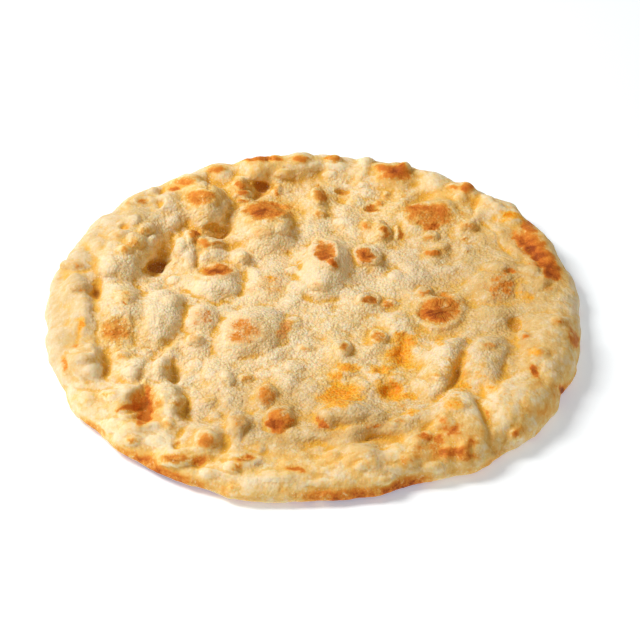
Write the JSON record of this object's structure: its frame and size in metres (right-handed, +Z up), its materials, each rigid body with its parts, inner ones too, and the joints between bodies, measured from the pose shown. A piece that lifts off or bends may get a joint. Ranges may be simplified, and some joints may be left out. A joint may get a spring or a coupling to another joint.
{
  "type": "naan bread",
  "caption": "Round leavened flatbread with a puffed rim, blistered and folded golden top, browned scorch marks and a flat underside",
  "frame": {"origin": "the middle of the bread's box, on its flat underside", "axes": "+Z up through the crust, -Y towards the eater, X across"},
  "size_m": [0.2446, 0.2496, 0.0226],
  "materials": {
    "crust": "matte"
  },
  "bodies": {
    "root": {"naan": "crust"}
  },
  "joints": []
}
